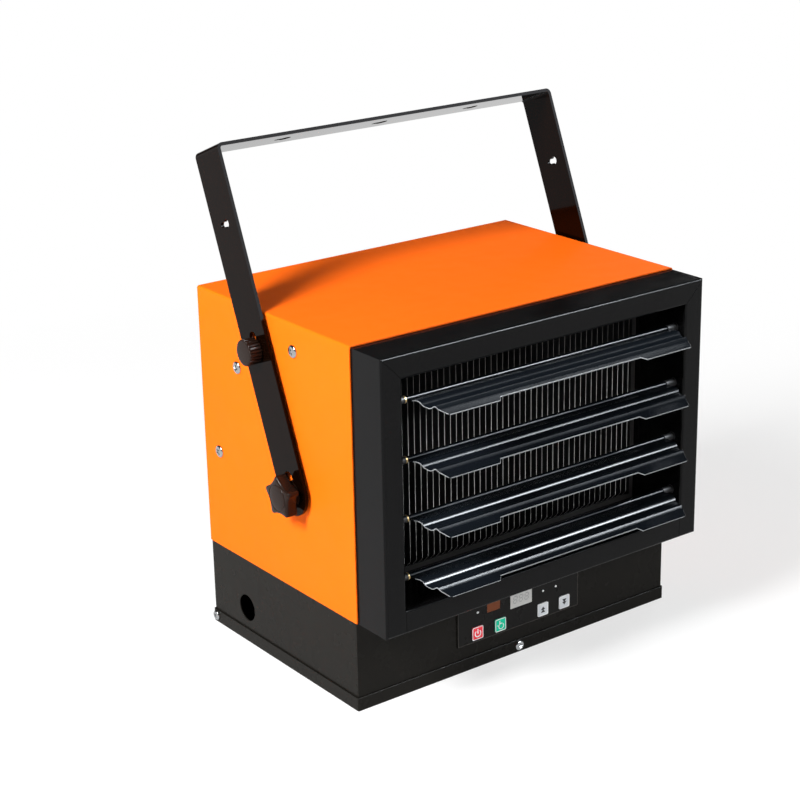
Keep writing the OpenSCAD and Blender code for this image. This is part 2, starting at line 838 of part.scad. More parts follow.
// One blade: a curved sheet along a radius, set at an angle to the fan's plane
module blade() {
    chord_r = 58;
    width = 27;
    t = 1.4;
    rotate([blade_angle, 0, 0]) along_x(hub_r - hub_wall + 0.5, fan_r + 4)
        intersection() {
            translate([0, chord_r * 0.96]) difference() {
                circle(chord_r);
                circle(chord_r - t);
            }
            translate([-width, -6]) square([2 * width, 14]);
        }
}

module fan_blade() {
    color(steel_tone) translate([0, fan_y, air_z]) rotate([-90, 0, 0]) difference() {
        union() {
            cylinder(r = hub_r, h = hub_len);
            intersection() {
                translate([0, 0, hub_len / 2])
                    for (i = [0 : fan_blades - 1]) rotate([0, 0, i * 360 / fan_blades]) blade();
                cylinder(r = fan_r, h = hub_len);
            }
        }
        translate([0, 0, -eps]) cylinder(r = hub_r - hub_wall, h = hub_len - hub_web + eps);
        translate([0, 0, -1]) cylinder(r = shaft_r + press_gap, h = hub_len + 2);
    }
}

module fan_shaft() {
    color(zinc) translate([0, 0, air_z]) round_y(shaft_r, fan_y + 1, motor_y + 23);
}

module fan_nut() {
    seat = fan_y + hub_len - hub_web - lap;
    color(brass_tone) translate([0, seat, air_z]) rotate([90, 0, 0]) difference() {
        cylinder(r = 6.5, h = 5, $fn = 6);
        translate([0, 0, -1]) cylinder(r = shaft_r + press_gap, h = 8);
    }
}

// Bracket and knobs

// Draws in the bracket's own frame: the pivot is the origin and the strap rises along Z
module in_bracket() {
    translate([0, pivot_y, pivot_z]) rotate([-tilt, 0, 0]) children();
}

// Keyhole along X through a leg: narrow at the stud, with a round end further up
module leg_keyhole(z, narrow_r, wide_r, up) {
    along_x(-strap_out - 1, strap_out + 1) {
        slot_2d([0, z], [0, z + up], narrow_r);
        translate([0, z + up]) circle(wide_r);
    }
}

module mounting_bracket() {
    half = strap_w / 2;
    inner_r = strap_bend - strap_t;
    color(black) in_bracket() difference() {
        intersection() {
            translate([0, half, 0]) rotate([90, 0, 0]) linear_extrude(strap_w) difference() {
                strap_outline(strap_out, bracket_up, strap_bend);
                translate([0, -1]) strap_outline(strap_in, bracket_up - strap_t + 1, inner_r);
            }
            along_x(-strap_out - 1, strap_out + 1) {
                translate([-half, 0]) square([strap_w, bracket_up + 1]);
                circle(half);
            }
        }
        leg_keyhole(0, pivot_stud_r + turn_gap, pivot_keyhole_r, pivot_keyhole_up);
        leg_keyhole(lock_r, lock_stud_r + turn_gap, lock_keyhole_r, lock_keyhole_up);
        along_x(-strap_out - 1, strap_out + 1) translate([0, leg_hole_up]) {
            translate([-leg_slot / 2, 0]) circle(leg_hole_r);
            slot_2d([-leg_slot / 2, 0], [leg_slot / 2, 0], leg_slot_r);
        }
        for (k = [-1, 0, 1]) translate([k * hang_pitch, 0, bracket_up - 2 * strap_t])
            linear_extrude(3 * strap_t) {
                circle(hang_r);
                slot_2d([-hang_slot, 0], [0, 0], hang_slot_r);
            }
    }
}

// The bracket's outline from the front, with two round upper corners
module strap_outline(half, top, r) {
    low = strap_w;
    translate([-half, -low]) square([2 * half, top + low - r]);
    translate([-half + r, -low]) square([2 * half - 2 * r, top + low]);
    for (s = [-1, 1]) translate([s * (half - r), top - r]) circle(r);
}

// Star knob on the left, with its stud along X
module star_knob() {
    boss_h = 4;
    boss_r = 0.62 * star_r;
    valley_r = 1.46 * star_r;
    valley_out = 2.21 * star_r;
    cap_r = 0.58 * star_r;
    groove_w = 1;
    lobe_turn = 6;
    step = 360 / star_lobes;
    seat = strap_out + lap;
    stud = strap_t + strap_gap + sheet + nut_len;
    translate([-seat, pivot_y, pivot_z]) rotate([0, -90, 0]) {
        cylinder(r = boss_r, h = boss_h + eps);
        difference() {
            intersection() {
                translate([0, 0, boss_h]) linear_extrude(star_h - boss_h) rotate(lobe_turn) difference() {
                    circle(star_r);
                    for (i = [0 : star_lobes - 1]) rotate((i + 0.5) * step)
                        translate([valley_out, 0]) circle(valley_r);
                }
                translate([0, 0, star_h - 5 * star_r]) sphere(5 * star_r);
            }
            translate([0, 0, star_h - groove_w]) difference() {
                cylinder(r = cap_r + groove_w, h = 2);
                translate([0, 0, -eps]) cylinder(r = cap_r, h = 3);
            }
        }
        translate([0, 0, -stud]) cylinder(r = pivot_stud_r, h = stud + 1);
    }
}

module star_knob_left() {
    color(dark_plastic) star_knob();
}

module star_knob_right() {
    color(dark_plastic) mirror([1, 0, 0]) star_knob();
}

// Knurled lock knob on the left; its stud ends just clear of the spare screws' heads
module lock_knob() {
    flute_r = 0.37 * 2 * PI * knurl_r / knurl_flutes;
    stud = strap_out + lap - (case_hw + head_h + 3 * lap);
    translate([-strap_out - lap, 0, lock_r]) rotate([0, -90, 0]) {
        intersection() {
            linear_extrude(knurl_h) difference() {
                circle(knurl_r);
                for (i = [0 : knurl_flutes - 1]) rotate(i * 360 / knurl_flutes)
                    translate([knurl_r + lap, 0]) circle(flute_r);
            }
            translate([0, 0, knurl_h - 5 * knurl_r]) sphere(5 * knurl_r);
        }
        translate([0, 0, -stud]) cylinder(r = lock_stud_r, h = stud + 1);
    }
}

module lock_knob_left() {
    color(dark_plastic) in_bracket() lock_knob();
}

module lock_knob_right() {
    color(dark_plastic) in_bracket() mirror([1, 0, 0]) lock_knob();
}

// Spacers between the case and the strap at the pivot
module pivot_washers() {
    color(dark_plastic) both_sides() translate([0, pivot_y, pivot_z]) difference() {
        round_x(washer_r, -strap_in + lap, -case_hw - lap);
        round_x(pivot_stud_r + turn_gap, -strap_in - 1, -case_hw + 1);
    }
}

// Nuts pressed into the case from inside for the pivot studs
module pivot_nuts() {
    color(zinc) both_sides() translate([0, pivot_y, pivot_z]) difference() {
        round_x(pivot_stud_r + pivot_nut_wall, -case_hw + sheet, -case_hw + sheet + nut_len);
        round_x(pivot_stud_r + turn_gap, -case_hw, -case_hw + sheet + nut_len + 1);
    }
}

// Nuts pressed into the case from inside for the lock positions
module lock_nuts() {
    color(zinc) both_sides() for (a = concat(spare_angles, [tilt])) at_lock(a) difference() {
        round_x(screw_r + lock_nut_wall, -case_hw + sheet, -case_hw + sheet + nut_len);
        round_x(screw_r + lap, -case_hw, -case_hw + sheet + nut_len + 1);
    }
}

// Screws that plug the spare lock positions
module side_screws() {
    color(zinc) both_sides() for (a = spare_angles) at_lock(a)
        translate([-case_hw, 0, 0]) rotate([0, -90, 0]) pan_screw(screw_r, side_screw_len, side_head_r, head_h);
}

module tray_screws() {
    color(zinc) at_tray_screws() pan_screw(screw_r, tray_screw_len, head_r, head_h);
}

module rear_screws() {
    color(zinc) at_rear_screws() pan_screw(screw_r, rear_screw_len, head_r, head_h);
}

// Controls

// Square opening with round corners, centred, as a flat shape
module soft_square_2d(w, r) {
    square([w, w - 2 * r], center = true);
    square([w - 2 * r, w], center = true);
    for (sx = [-1, 1], sy = [-1, 1]) translate([sx, sy] * (w / 2 - r)) circle(r, $fn = 24);
}

// Solid along Y from a shape drawn in X and Z
module along_y(y0, y1) {
    translate([0, y1, 0]) rotate([90, 0, 0]) linear_extrude(y1 - y0) children();
}

module control_panel() {
    y1 = -base_hd - lap;
    cap_corner = 1.6;
    color(dark_plastic) along_y(panel_front, y1) difference() {
        translate([-panel_w / 2, panel_z]) square([panel_w, panel_h]);
        for (x = button_x) translate([x, button_z]) soft_square_2d(cap_w + 2 * cap_gap, cap_corner);
        translate([display_x[0], display_z[0]])
            square([display_x[1] - display_x[0], display_z[1] - display_z[0]]);
        translate([receiver_x[0], receiver_z[0]])
            square([receiver_x[1] - receiver_x[0], receiver_z[1] - receiver_z[0]]);
        for (p = lens_spots) translate(p) circle(lens_r);
    }
}

// Window that fills an opening of the panel
module window(xs, zs) {
    block([xs[0] + lap, panel_front + lap, zs[0] + lap], [xs[1] - lap, -base_hd, zs[1] - lap]);
}

module display_window() {
    color("#c8cac8") window(display_x, display_z);
}

module receiver_window() {
    color("#6b3420") window(receiver_x, receiver_z);
}

module indicator_lenses() {
    color("#dfe3e6") for (p = lens_spots) translate([p[0], 0, p[1]])
        round_y(lens_r - lap / 2, panel_front - 0.3, -base_hd);
}

// Button cap with a flange behind the panel and a stem towards its switch
module button(x) {
    cap_corner = 1.4;
    stem_r = 2.5;
    flange_y = -base_hd;
    stem_end = board_y - switch_h - plunger_h - cap_travel - 0.2;
    along_y(panel_front - cap_out, flange_y + eps) translate([x, button_z]) soft_square_2d(cap_w, cap_corner);
    along_y(flange_y, flange_y + cap_flange_t)
        translate([x, button_z]) soft_square_2d(cap_w + 2 * cap_flange, cap_corner);
    translate([x, 0, button_z]) round_y(stem_r, flange_y, stem_end);
}

module button_power() {
    color("#e8343c") button(button_x[0]);
}

module button_mode() {
    color("#18b088") button(button_x[1]);
}

module button_up() {
    color("#d9dcde") button(button_x[2]);
}

module button_down() {
    color("#d9dcde") button(button_x[3]);
}

// Places something at the four corners of the control board
module at_standoffs() {
    in = standoff_r + 1.1;
    for (s = [-1, 1], z = [board_low + in, board_high - in])
        translate([s * (board_hw - in), 0, z]) children();
}

module control_board() {
    color("#1f5a38") difference() {
        block([-board_hw, board_y, board_low], [board_hw, board_y + board_t, board_high]);
        at_standoffs() round_y(1.4, board_y - 1, board_y + board_t + 1);
    }
}

module board_standoffs() {
    color(brass_tone) at_standoffs() round_y(standoff_r, -base_hd + sheet, board_y);
}

module tact_switches() {
    color(dark_plastic) for (x = button_x) translate([x, 0, button_z]) {
        block([-switch_w / 2, board_y - switch_h, -switch_w / 2], [switch_w / 2, board_y, switch_w / 2]);
        round_y(plunger_r, board_y - switch_h - plunger_h, board_y - switch_h + eps);
    }
}

// Two-digit display behind its window
module display_module() {
    color("#e6e6e2") block([display_x[0] + 1, -base_hd + lap, display_z[0] + 0.5],
                           [display_x[1] - 1, board_y, display_z[1] - 0.5]);
}

// Supply terminals with their screws' wells
module terminal_block() {
    poles = 4;
    wall = 3;
    w = poles * terminal_pole + wall;
    well_x = (terminal_pole + wall) / 2;
    color("#d8d2c0") translate([-base_hw + terminal_in, base_hd - terminal_back - terminal_d, sheet + lap])
        difference() {
            union() {
                cube([w, terminal_d, 0.4 * terminal_h]);
                translate([0, terminal_d / 4, 0]) cube([w, terminal_d / 2, terminal_h]);
                for (i = [0 : poles]) translate([i * terminal_pole, wall / 2, 0])
                    cube([wall, terminal_d - wall, terminal_h + wall]);
            }
            for (i = [0 : poles - 1])
                translate([i * terminal_pole + well_x, terminal_d / 2, 0.6 * terminal_h])
                    cylinder(r = terminal_pole / 4, h = terminal_h);
        }
}

// Two power relays on the tray, each on a foot and with three rows of contacts on top
module contactors() {
    foot_t = 3;
    row_h = 4;
    row_w = relay_w / 9;
    right = base_hw - relay_in - relay_w;
    front = base_hd - relay_back - relay_d;
    color(dark_plastic) for (k = [0, 1])
        translate([right - k * relay_pitch, front, sheet + lap]) {
            block([-relay_rim, -relay_rim, 0], [relay_w + relay_rim, relay_d + relay_rim, foot_t]);
            block([0, 0, foot_t - eps], [relay_w, relay_d, relay_h]);
            for (i = [1 : 3]) translate([i * relay_w / 4 - row_w / 2, relay_rim, relay_h - eps])
                cube([row_w, relay_d - 2 * relay_rim, row_h + eps]);
        }
}

module ground_screw() {
    stud_r = 2.5;
    stud_len = 12;
    color(brass_tone) translate([-base_hw + ground_in, base_hd - ground_back, sheet + lap]) {
        cylinder(r = 2 * stud_r, h = stud_len / 4, $fn = 6);
        cylinder(r = stud_r, h = stud_len);
    }
}

bottom_tray();
base_front();
base_left();
base_right();
base_back();
base_top();
case_shell();
rear_panel();
front_bezel();
air_duct();
fan_shroud();
motor_bracket();
fan_motor();
fan_blade();
fan_shaft();
fan_nut();
heater_fins();
heating_tubes();
tube_terminals();
thermal_cutout();
placed_louvre(1);  // louvre_1
placed_louvre(2);  // louvre_2
placed_louvre(3);  // louvre_3
placed_louvre(4);  // louvre_4
at_louvre(1) louvre_rod();  // louvre_rod_1
at_louvre(2) louvre_rod();  // louvre_rod_2
at_louvre(3) louvre_rod();  // louvre_rod_3
at_louvre(4) louvre_rod();  // louvre_rod_4
louvre_bushes();
mounting_bracket();
star_knob_left();
star_knob_right();
lock_knob_left();
lock_knob_right();
pivot_washers();
pivot_nuts();
lock_nuts();
side_screws();
tray_screws();
rear_screws();
motor_screws();
control_panel();
display_window();
receiver_window();
indicator_lenses();
button_power();
button_mode();
button_up();
button_down();
control_board();
board_standoffs();
tact_switches();
display_module();
terminal_block();
contactors();
ground_screw();
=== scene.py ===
import math

import bmesh
import bpy
from mathutils import Matrix, Vector


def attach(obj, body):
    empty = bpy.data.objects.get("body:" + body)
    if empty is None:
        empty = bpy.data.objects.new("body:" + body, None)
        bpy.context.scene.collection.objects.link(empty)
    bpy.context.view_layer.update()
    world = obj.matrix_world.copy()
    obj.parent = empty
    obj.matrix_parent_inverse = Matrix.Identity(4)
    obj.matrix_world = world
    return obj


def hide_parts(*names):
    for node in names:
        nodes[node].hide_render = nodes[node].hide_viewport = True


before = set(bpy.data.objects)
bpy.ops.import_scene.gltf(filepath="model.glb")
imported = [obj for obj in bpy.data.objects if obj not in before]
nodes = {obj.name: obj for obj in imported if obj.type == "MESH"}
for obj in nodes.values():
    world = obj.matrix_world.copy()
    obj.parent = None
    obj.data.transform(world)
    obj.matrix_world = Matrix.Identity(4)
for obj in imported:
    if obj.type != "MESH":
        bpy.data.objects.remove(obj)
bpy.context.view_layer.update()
scene = bpy.context.scene
scene.view_settings.view_transform = "Standard"

MM = 0.001

# The part's own places that the finer shapes sit on

PIVOT = Vector((0, -35.7, 176.0)) * MM
LOCK_R = 125 * MM
TILT = math.radians(22)
CASE_HALF = 177.7 * MM
STRAP_OUT = 184.0 * MM
KNOB_GAP = 0.1 * MM
TRAY_FRONT = -115.0 * MM
TRAY_HALF = 177.8 * MM
LIP_SCREW_Z = 6.3 * MM
LIP_SCREW_Y = 110.2 * MM
REAR_Y = 115.0 * MM
REAR_SCREW_X = 171.7 * MM
REAR_SCREW_Z = (106 * MM, 203.55 * MM, 301.1 * MM)
REAR_TOP_SCREW_Z = 319.1 * MM

# The camera that fits the photograph: azimuth, elevation and roll in degrees, lens and sensor in millimetres

CAMERA_ANGLES = (-36.59, 19.47, -1.17)
CAMERA_AT = (-1.01925, -1.31623, 0.79744)
LENS = 87.58
SENSOR = 36


def make_camera():
    az, el, roll = (math.radians(a) for a in CAMERA_ANGLES)
    back = Vector((math.sin(az) * math.cos(el), -math.cos(az) * math.cos(el), math.sin(el)))
    right = Vector((math.cos(az), math.sin(az), 0))
    up = back.cross(right)
    c, s = math.cos(roll), math.sin(roll)
    r, u = right * c + up * s, up * c - right * s
    data = bpy.data.cameras.new("camera")
    data.lens = LENS
    data.sensor_width = SENSOR
    data.clip_start = 0.05
    data.clip_end = 60
    cam = bpy.data.objects.new("camera", data)
    m = Matrix((r, u, back)).transposed().to_4x4()
    m.translation = Vector(CAMERA_AT)
    cam.matrix_world = m
    scene.collection.objects.link(cam)
    scene.camera = cam


make_camera()


# Node helpers

def new_material(name):
    mat = bpy.data.materials.new(name)
    mat.use_nodes = True
    tree = mat.node_tree
    tree.nodes.clear()
    out = tree.nodes.new("ShaderNodeOutputMaterial")
    shader = tree.nodes.new("ShaderNodeBsdfPrincipled")
    tree.links.new(shader.outputs[0], out.inputs[0])
    return mat, tree, shader


def node(tree, kind, **values):
    n = tree.nodes.new(kind)
    for key, value in values.items():
        setattr(n, key, value)
    return n


def noise(tree, coords, scale, detail=2.0, stretch=None):
    """A noise of 0 to 1, drawn out along the axes that stretch gives a small scale."""
    n = node(tree, "ShaderNodeTexNoise")
    n.inputs["Scale"].default_value = scale
    n.inputs["Detail"].default_value = detail
    if stretch:
        m = node(tree, "ShaderNodeMapping")
        m.inputs["Scale"].default_value = stretch
        tree.links.new(coords, m.inputs["Vector"])
        coords = m.outputs[0]
    tree.links.new(coords, n.inputs["Vector"])
    return n.outputs["Fac"]


def spread(tree, value, low, high, start=0.3, end=0.7):
    """Takes a value from start..end to low..high and holds it there at both ends."""
    n = node(tree, "ShaderNodeMapRange")
    n.inputs["From Min"].default_value = start
    n.inputs["From Max"].default_value = end
    n.inputs["To Min"].default_value = low
    n.inputs["To Max"].default_value = high
    tree.links.new(value, n.inputs["Value"])
    return n.outputs[0]


def blend_colours(tree, fac, a, b):
    n = node(tree, "ShaderNodeMix", data_type="RGBA")
    if isinstance(fac, float):
        n.inputs[0].default_value = fac
    else:
        tree.links.new(fac, n.inputs[0])
    for socket, c in ((n.inputs[6], a), (n.inputs[7], b)):
        if isinstance(c, (tuple, list)):
            socket.default_value = (*c, 1)
        else:
            tree.links.new(c, socket)
    return n.outputs[2]


def shade(colour, factor):
    return tuple(min(1.0, v * factor) for v in colour)


def surface(name, colour, rough, spec=0.5, metallic=0.0, edge=0.5, grain=900, grain_depth=0.02,
            tone=0.06, brushed=None, coat=0.0, coat_ior=1.5, rough_var=0.05):
    """A finish with mottled colour and roughness, a fine grain and softened edges, in millimetres.
    tone is how far the colour wanders, and brushed draws the grain out into lines."""
    mat, tree, bsdf = new_material(name)
    coords = node(tree, "ShaderNodeTexCoord").outputs["Object"]
    broad = noise(tree, coords, 9, 3)
    base = blend_colours(tree, spread(tree, broad, 0, 1), shade(colour, 1 - tone), shade(colour, 1 + tone))
    if brushed:
        lines = noise(tree, coords, 40, 4, brushed)
        base = blend_colours(tree, spread(tree, lines, 0, 0.5), base, shade(colour, 0.72))
    tree.links.new(base, bsdf.inputs["Base Color"])
    patches = noise(tree, coords, 47, 3)
    tree.links.new(spread(tree, patches, rough - rough_var, rough + rough_var), bsdf.inputs["Roughness"])
    bump = node(tree, "ShaderNodeBump")
    bump.inputs["Strength"].default_value = 0.6
    bump.inputs["Distance"].default_value = grain_depth * MM
    fine = noise(tree, coords, grain, 2, brushed)
    tree.links.new(fine, bump.inputs["Height"])
    if edge:
        soft = node(tree, "ShaderNodeBevel", samples=4)
        soft.inputs["Radius"].default_value = edge * MM
        tree.links.new(soft.outputs[0], bump.inputs["Normal"])
    tree.links.new(bump.outputs[0], bsdf.inputs["Normal"])
    bsdf.inputs["Metallic"].default_value = metallic
    bsdf.inputs["Specular IOR Level"].default_value = spec
    bsdf.inputs["Coat Weight"].default_value = coat
    bsdf.inputs["Coat IOR"].default_value = coat_ior
    bsdf.inputs["Coat Roughness"].default_value = rough
    return mat


def combine(tree, operation, a, b=0.0):
    n = node(tree, "ShaderNodeMath", operation=operation)
    for socket, v in zip(n.inputs, (a, b)):
        if isinstance(v, float):
            socket.default_value = v
        else:
            tree.links.new(v, socket)
    return n.outputs[0]


def split(tree, vector):
    parts = node(tree, "ShaderNodeSeparateXYZ")
    tree.links.new(vector, parts.inputs[0])
    return parts.outputs


def facing(tree, axis):
    """1 on the faces that look along one axis."""
    normal = split(tree, node(tree, "ShaderNodeNewGeometry").outputs["True Normal"])
    return spread(tree, combine(tree, "ABSOLUTE", normal[axis]), 0, 1, 0.55, 0.65)


def repaint(mat, mask, colour):
    tree = mat.node_tree
    bsdf = next(n for n in tree.nodes if n.type == "BSDF_PRINCIPLED")
    old = bsdf.inputs["Base Color"].links[0].from_socket
    tree.links.new(blend_colours(tree, mask, old, colour), bsdf.inputs["Base Color"])


def painted_edge_highlights(mat, colour, out=81.0, inner=77.3, front=-186.85, step=4.6, side=-153.0):
    """Painted highlight: pale lines along a louvre's stepped front edge and on its ends in front of the rod,
    in millimetres.
    Within inner of the middle the front edge lies a step further back than it does beyond out."""
    tree = mat.node_tree
    at = split(tree, node(tree, "ShaderNodeTexCoord").outputs["Object"])
    across = combine(tree, "ABSOLUTE", at["X"])
    limit = spread(tree, across, (front + step) * MM, front * MM, inner * MM, out * MM)
    edge = combine(tree, "LESS_THAN", at["Y"], limit)
    ends = combine(tree, "MULTIPLY", facing(tree, "X"), combine(tree, "LESS_THAN", at["Y"], side * MM))
    repaint(mat, combine(tree, "MAXIMUM", edge, ends), colour)
    return mat


def fins_with_painted_light(mat, low, high, shade_from=235.0, shade_to=245.0):
    """Fins whose front edges carry a painted highlight, dimmed by painted shade towards the top. Heights in
    millimetres.
    """
    tree = mat.node_tree
    at = split(tree, node(tree, "ShaderNodeTexCoord").outputs["Object"])
    # Painted shade: above these heights the front edges turn from the pale highlight to a dull grey
    heat = spread(tree, at["Z"], 0, 1, shade_from * MM, shade_to * MM)
    repaint(mat, facing(tree, "Y"), blend_colours(tree, heat, high, low))
    return mat


ORANGE = surface("orange powder coat", (0.95, 0.137, 0.0045), 0.55, spec=0.04, edge=0.6, tone=0.02,
                 grain=1500, grain_depth=0.012)
BLACK = surface("black powder coat", (0.0105, 0.0095, 0.0080), 0.26, spec=0.06, edge=0.5,
                grain=1500, grain_depth=0.008)
BEZEL = surface("bezel powder coat", (0.0035, 0.0035, 0.0037), 0.2, spec=0.10, edge=0.5,
                grain=1500, grain_depth=0.006)
STRAP = surface("strap powder coat", (0.0030, 0.0009, 0.0003), 0.08, spec=0.02, edge=0.25,
                grain=1500, grain_depth=0.0, coat=1.0, coat_ior=1.11, rough_var=0.01)
# The louvres' front edges and ends get a painted highlight in pale grey
LOUVRE = painted_edge_highlights(surface("louvre paint", (0.0050, 0.0068, 0.0095), 0.19, spec=0.17, edge=0.25, grain=700,
                            grain_depth=0.002, rough_var=0.01), (0.24, 0.25, 0.26))
# The duct's sheet is dark grey all over
DUCT = surface("dark duct sheet", (0.035, 0.034, 0.033), 0.5, metallic=0.4, edge=0.3,
               tone=0.2, grain_depth=0.01)
GALVANISED = surface("galvanised sheet", (0.42, 0.43, 0.44), 0.42, metallic=1.0, edge=0.3, tone=0.12,
                     brushed=(1, 6, 1), grain_depth=0.01)
ZINC = surface("zinc plate", (0.44, 0.45, 0.46), 0.18, metallic=1.0, edge=0.2, tone=0.08, grain_depth=0.01)
BRASS = surface("brass", (0.66, 0.47, 0.22), 0.3, metallic=1.0, edge=0.2, tone=0.1, grain_depth=0.01)
# The fins' front edges get a painted highlight, dimmed at the top by painted shade
FIN = fins_with_painted_light(surface("dark fins with painted light", (0.02, 0.021, 0.022), 0.42, spec=0.2, edge=0, tone=0.4,
                          grain_depth=0.02), (0.16, 0.15, 0.14), (0.80, 0.80, 0.80))
TUBE = surface("heat darkened tube", (0.30, 0.28, 0.26), 0.35, metallic=1.0, edge=0,
               tone=0.15, brushed=(1, 8, 8))
MOTOR = surface("motor enamel", (0.022, 0.022, 0.024), 0.4, spec=0.4, edge=0.5)
FAN = surface("fan aluminium", (0.62, 0.63, 0.64), 0.36, metallic=1.0, edge=0.3,
              tone=0.08, brushed=(4, 1, 4))
KNOB = surface("moulded knob", (0.012, 0.0056, 0.0036), 0.24, spec=0.14, edge=0.15,
               grain=600, grain_depth=0.01)
PLASTIC = surface("black plastic", (0.016, 0.016, 0.017), 0.45, spec=0.4, edge=0.3)
PANEL = surface("panel film", (0.0065, 0.0060, 0.0055), 0.3, spec=0.10, edge=0.6,
                grain=2600, grain_depth=0.01)
DISPLAY = surface("display window", (0.62, 0.62, 0.60), 0.35, spec=0.2, edge=0.1,
                  tone=0.14, grain_depth=0.002)
RECEIVER = surface("receiver filter", (0.20, 0.055, 0.018), 0.35, spec=0.12, edge=0.1,
                   tone=0.1, grain_depth=0.002)
LENS = surface("clear lens", (0.78, 0.80, 0.80), 0.15, spec=0.5, edge=0.05, tone=0.03, grain_depth=0.002)
RED = surface("red cap", (0.97, 0.05, 0.075), 0.4, spec=0.12, edge=0.3, tone=0.03, grain_depth=0.004)
GREEN = surface("green cap", (0.003, 0.62, 0.37), 0.4, spec=0.12, edge=0.3, tone=0.03, grain_depth=0.004)
GREY = surface("grey cap", (0.72, 0.75, 0.78), 0.4, spec=0.2, edge=0.3, tone=0.03, grain_depth=0.004)
WHITE = surface("white print", (0.95, 0.95, 0.95), 0.5, spec=0.3, edge=0, tone=0.02, grain_depth=0.002)
# A pale colour for a painted highlight along the control panel's edge
PANEL_EDGE_HIGHLIGHT = surface("painted panel edge highlight", (0.05, 0.045, 0.040), 0.4, spec=0.1, edge=0,
                    tone=0.05, grain_depth=0.002)
INK = surface("dark print", (0.02, 0.02, 0.022), 0.5, spec=0.3, edge=0, tone=0.05, grain_depth=0.002)
SEGMENT = surface("display segment", (0.36, 0.37, 0.37), 0.4, spec=0.3, edge=0, tone=0.05, grain_depth=0.002)
BOARD = surface("solder mask", (0.01, 0.10, 0.035), 0.3, spec=0.5, edge=0.2, tone=0.15)
CREAM = surface("terminal moulding", (0.55, 0.50, 0.38), 0.5, spec=0.4, edge=0.3, tone=0.05)

FINISH = {
    "case_shell": ORANGE,
    "front_bezel": BEZEL,
    "mounting_bracket": STRAP,
    "air_duct": DUCT,
    "fan_motor": MOTOR,
    "fan_blade": FAN,
    "heater_fins": FIN,
    "heating_tubes": TUBE,
    "control_panel": PANEL,
    "display_window": DISPLAY,
    "display_module": DISPLAY,
    "receiver_window": RECEIVER,
    "indicator_lenses": LENS,
    "button_power": RED,
    "button_mode": GREEN,
    "button_up": GREY,
    "button_down": GREY,
    "control_board": BOARD,
    "terminal_block": CREAM,
}
for names, mat in (
    ("bottom_tray base_front base_left base_right base_back rear_panel", BLACK),
    ("louvre_1 louvre_2 louvre_3 louvre_4", LOUVRE),
    ("base_top fan_shroud", GALVANISED),
    ("motor_bracket pivot_nuts lock_nuts fan_shaft motor_screws side_screws tray_screws rear_screws", ZINC),
    ("louvre_rod_1 louvre_rod_2 louvre_rod_3 louvre_rod_4", BRASS),
    ("fan_nut tube_terminals board_standoffs ground_screw", BRASS),
    ("star_knob_left star_knob_right lock_knob_left lock_knob_right", KNOB),
    ("pivot_washers louvre_bushes thermal_cutout tact_switches contactors", PLASTIC),
):
    for name in names.split():
        FINISH[name] = mat
for name, obj in nodes.items():
    obj.data.materials.clear()
    obj.data.materials.append(FINISH[name])


# Mesh helpers

def add_mesh(name, bm, mat, body, replaced=(), sharp=35):
    mesh = bpy.data.meshes.new(name)
    bm.normal_update()
    bm.to_mesh(mesh)
    bm.free()
    for p in mesh.polygons:
        p.use_smooth = True
    mesh.set_sharp_from_angle(angle=math.radians(sharp))
    mesh.materials.append(mat)
    obj = bpy.data.objects.new(name, mesh)
    scene.collection.objects.link(obj)
    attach(obj, body)
    if replaced:
        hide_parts(*replaced)
    return obj


def loft(bm, rings, caps=(True, True)):
    """Joins rings of the same number of points into one skin."""
    rows = [[bm.verts.new(p) for p in ring] for ring in rings]
    n = len(rows[0])
    for a, b in zip(rows, rows[1:]):
        for i in range(n):
            bm.faces.new((a[i], a[(i + 1) % n], b[(i + 1) % n], b[i]))
    if caps[0]:
        bm.faces.new(rows[0][::-1])
    if caps[1]:
        bm.faces.new(rows[-1])


def lathe(bm, profile, steps=48):
    """Turns (radius, height) pairs round +Z."""
    rings = [[Vector((r * math.cos(2 * math.pi * i / steps), r * math.sin(2 * math.pi * i / steps), z))
              for i in range(steps)] for r, z in profile]
    loft(bm, rings)


def placed(source, matrices):
    """One mesh with a copy of the source at each matrix. A mirrored copy has its faces turned back."""
    mesh = bpy.data.meshes.new("scratch")
    source.to_mesh(mesh)
    out = bmesh.new()
    for m in matrices:
        before = len(out.verts)
        out.from_mesh(mesh)
        out.verts.ensure_lookup_table()
        bmesh.ops.transform(out, matrix=m, verts=out.verts[before:])
        if m.to_3x3().determinant() < 0:
            out.verts.ensure_lookup_table()
            new = set(out.verts[before:])
            bmesh.ops.reverse_faces(out, faces=[f for f in out.faces if f.verts[0] in new])
    bpy.data.meshes.remove(mesh)
    return out


def turned_to(origin, axis, turn=0.0):
    """A matrix that puts +Z along axis at origin."""
    q = Vector((0, 0, 1)).rotation_difference(Vector(axis))
    return Matrix.Translation(origin) @ q.to_matrix().to_4x4() @ Matrix.Rotation(turn, 4, "Z")


# Screws: a domed pan head with a cross recess, and a threaded shank

def cross_cutter(head_r, head_h):
    """Two crossed wedges that narrow downwards."""
    bm = bmesh.new()
    arm, half = head_r * 0.62, head_r * 0.13
    top, low = head_h * 1.15, head_h * 0.35
    for turn in (0, math.pi / 2):
        rings = []
        for z, a, w in ((low, arm * 0.35, half * 0.8), (top, arm, half * 1.25)):
            rings.append([Vector((x, y, z)) for x, y in ((-a, -w), (a, -w), (a, w), (-a, w))])
        rot = Matrix.Rotation(turn, 3, "Z")
        loft(bm, [[rot @ p for p in ring] for ring in rings])
    return bm


THREAD_PITCH = 0.8 * MM
DOME = ((0.98, 0), (1, 0.25), (0.97, 0.5), (0.86, 0.76), (0.66, 0.92), (0.36, 0.99), (0.05, 1))


